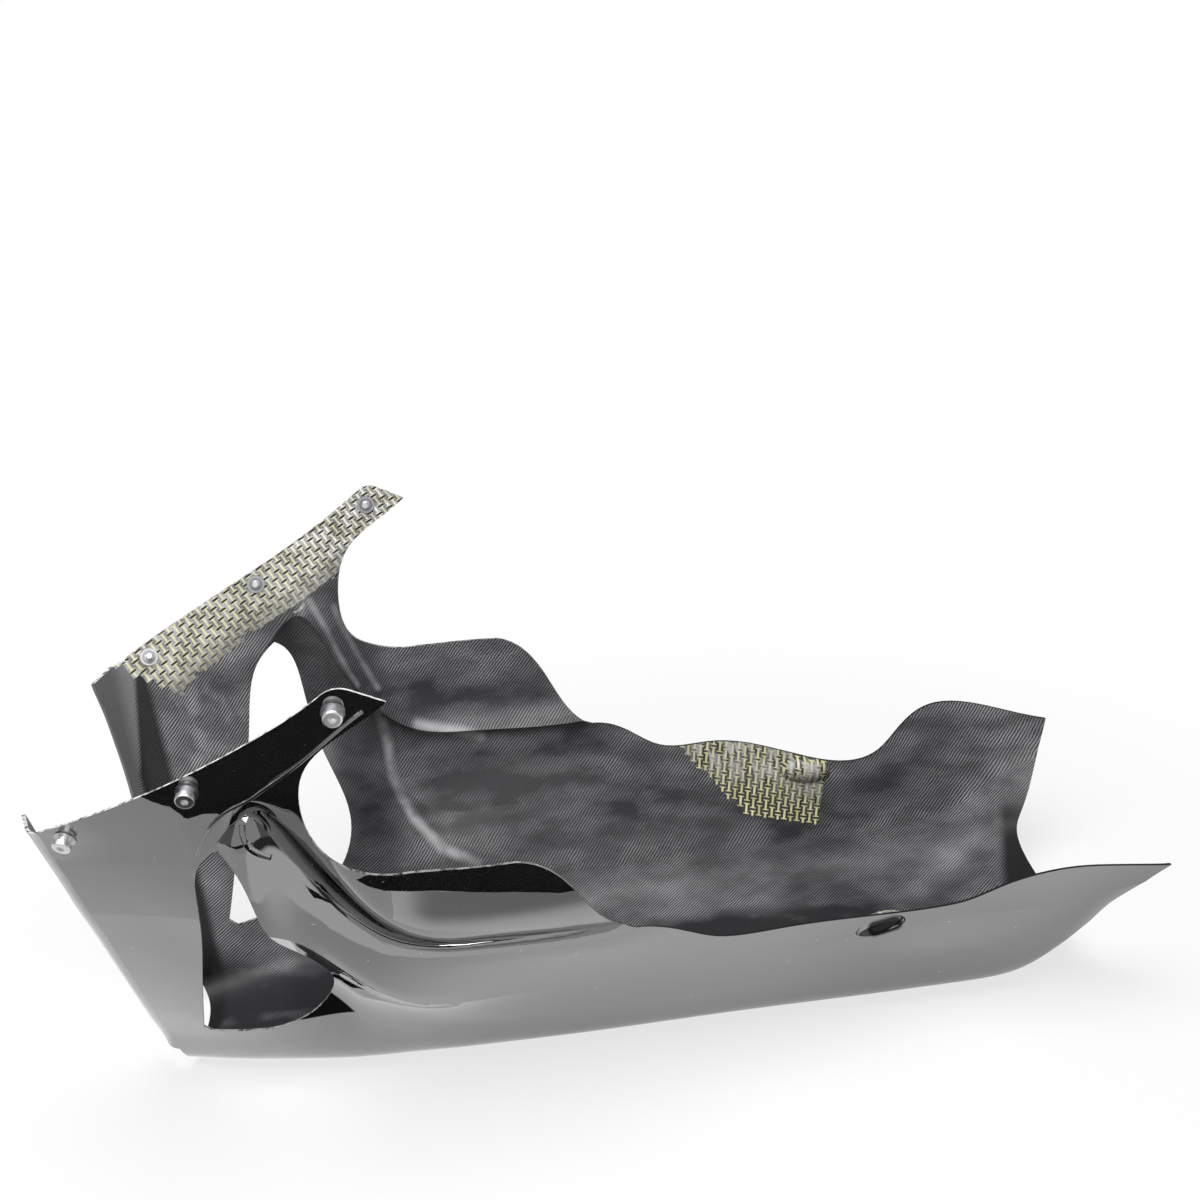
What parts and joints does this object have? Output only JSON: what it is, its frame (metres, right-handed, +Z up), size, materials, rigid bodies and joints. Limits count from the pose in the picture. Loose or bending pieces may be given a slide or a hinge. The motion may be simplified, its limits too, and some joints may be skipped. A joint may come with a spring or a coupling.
{
  "type": "motorcycle belly pan",
  "caption": "Gloss black moulded belly pan for a motorcycle, with side scoops, long arms, studs along their top edges and bare woven carbon inside.",
  "frame": {"origin": "middle of the bounding box in plan, at the lowest point of the floor", "axes": "+X towards the tail, +Y towards the motorcycle's right side, which is the far side in the picture, +Z up"},
  "size_m": [0.7357, 0.4254, 0.3426],
  "materials": {
    "gel_coat": "gloss",
    "stud_steel": "satin",
    "grommet_alloy": "satin",
    "ring_steel": "satin"
  },
  "bodies": {
    "root": {"belly_pan_shell": "gel_coat", "fastener_studs": "stud_steel", "fastener_grommets": "grommet_alloy", "fastener_rings": "ring_steel"}
  },
  "joints": []
}
